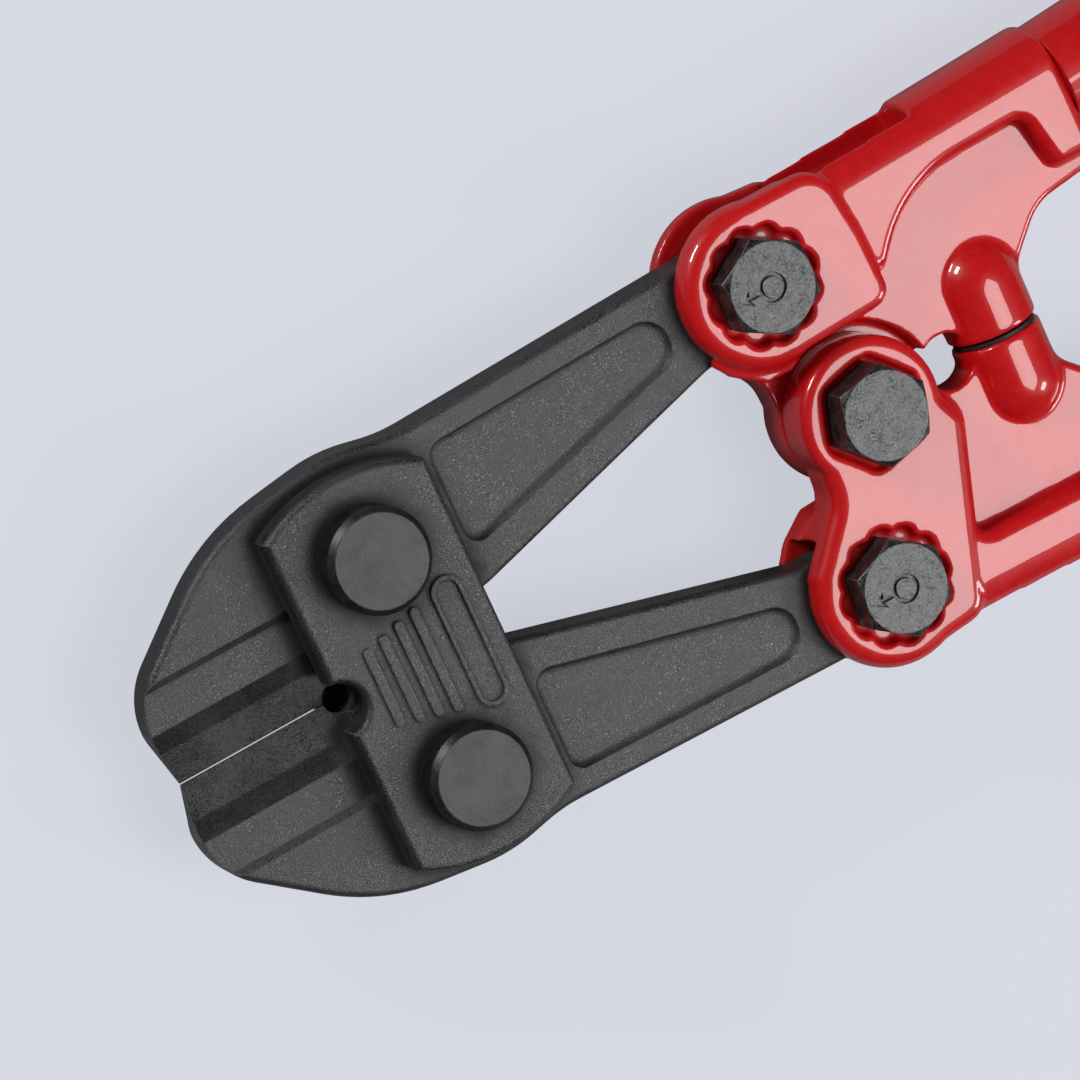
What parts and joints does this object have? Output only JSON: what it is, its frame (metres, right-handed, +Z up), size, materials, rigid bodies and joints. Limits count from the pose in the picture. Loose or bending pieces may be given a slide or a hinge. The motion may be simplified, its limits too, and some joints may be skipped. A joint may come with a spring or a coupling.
{
  "type": "bolt cutters",
  "caption": "Two-handed compound-lever bolt cutters with link-plate jaws, eccentric-bolt clevis joints, a lapped centre joint and soft grips, closed.",
  "frame": {"origin": "middle of the underside of the closed tool's box, on the surface it lies on", "axes": "+X along the tool from the jaws to the grips, +Y across towards the upper handle, +Z up along the pivot pins towards the bolt heads"},
  "size_m": [0.46, 0.1428, 0.0304],
  "materials": {
    "black_forging": "fine-grained black forged steel",
    "pin_steel": "dark turned steel",
    "bolt_steel": "burnished dark steel",
    "red_paint": "gloss red powder coat",
    "grip_rubber": "matt dark soft grip",
    "grip_inlay": "satin red soft grip",
    "buffer_rubber": "matt black rubber"
  },
  "bodies": {
    "jaw_plates": {"front_link_plate": "black_forging", "rear_link_plate": "black_forging", "upper_plate_pin": "pin_steel", "lower_plate_pin": "pin_steel", "plate_pin_washers": "bolt_steel", "plate_pin_nuts": "bolt_steel"},
    "upper_blade": {"upper_blade": "black_forging"},
    "lower_blade": {"lower_blade": "black_forging"},
    "upper_handle": {"upper_handle_head": "red_paint", "upper_eccentric_bolt": "bolt_steel", "upper_eccentric_washer": "bolt_steel", "upper_eccentric_nut": "bolt_steel", "upper_tube": "red_paint", "upper_grip": "grip_rubber", "upper_grip_inlays": "grip_inlay"},
    "lower_handle": {"lower_handle_head": "red_paint", "lower_eccentric_bolt": "bolt_steel", "lower_eccentric_washer": "bolt_steel", "lower_eccentric_nut": "bolt_steel", "lower_tube": "red_paint", "lower_grip": "grip_rubber", "lower_grip_inlays": "grip_inlay", "centre_bolt": "bolt_steel", "centre_washer": "bolt_steel", "centre_nut": "bolt_steel", "stop_buffer": "buffer_rubber"}
  },
  "joints": [
    {"name": "upper_handle_pivot", "type": "hinge", "parent": "upper_blade", "child": "upper_handle", "pos_m": [-0.1007, 0.02953, 0.0152], "axis": [0, 0, 1], "range_deg": [0, 46.3]},
    {"name": "upper_blade_pivot", "type": "hinge", "parent": "jaw_plates", "child": "upper_blade", "pos_m": [-0.184, 0.02095, 0.0152], "axis": [0, 0, -1], "range_deg": [0, 7.9]},
    {"name": "lower_blade_pivot", "type": "hinge", "parent": "jaw_plates", "child": "lower_blade", "pos_m": [-0.184, -0.02095, 0.0152], "axis": [0, 0, 1], "range_deg": [0, 7.9]},
    {"name": "lower_handle_pivot", "type": "hinge", "parent": "lower_blade", "child": "lower_handle", "pos_m": [-0.1007, -0.02953, 0.0152], "axis": [0, 0, -1], "range_deg": [0, 46.3]}
  ],
  "couplings": [
    {"joint": "upper_blade_pivot", "follows": "upper_handle_pivot", "ratio": 0.169},
    {"joint": "lower_blade_pivot", "follows": "upper_handle_pivot", "ratio": 0.169},
    {"joint": "lower_handle_pivot", "follows": "upper_handle_pivot", "ratio": 1}
  ]
}
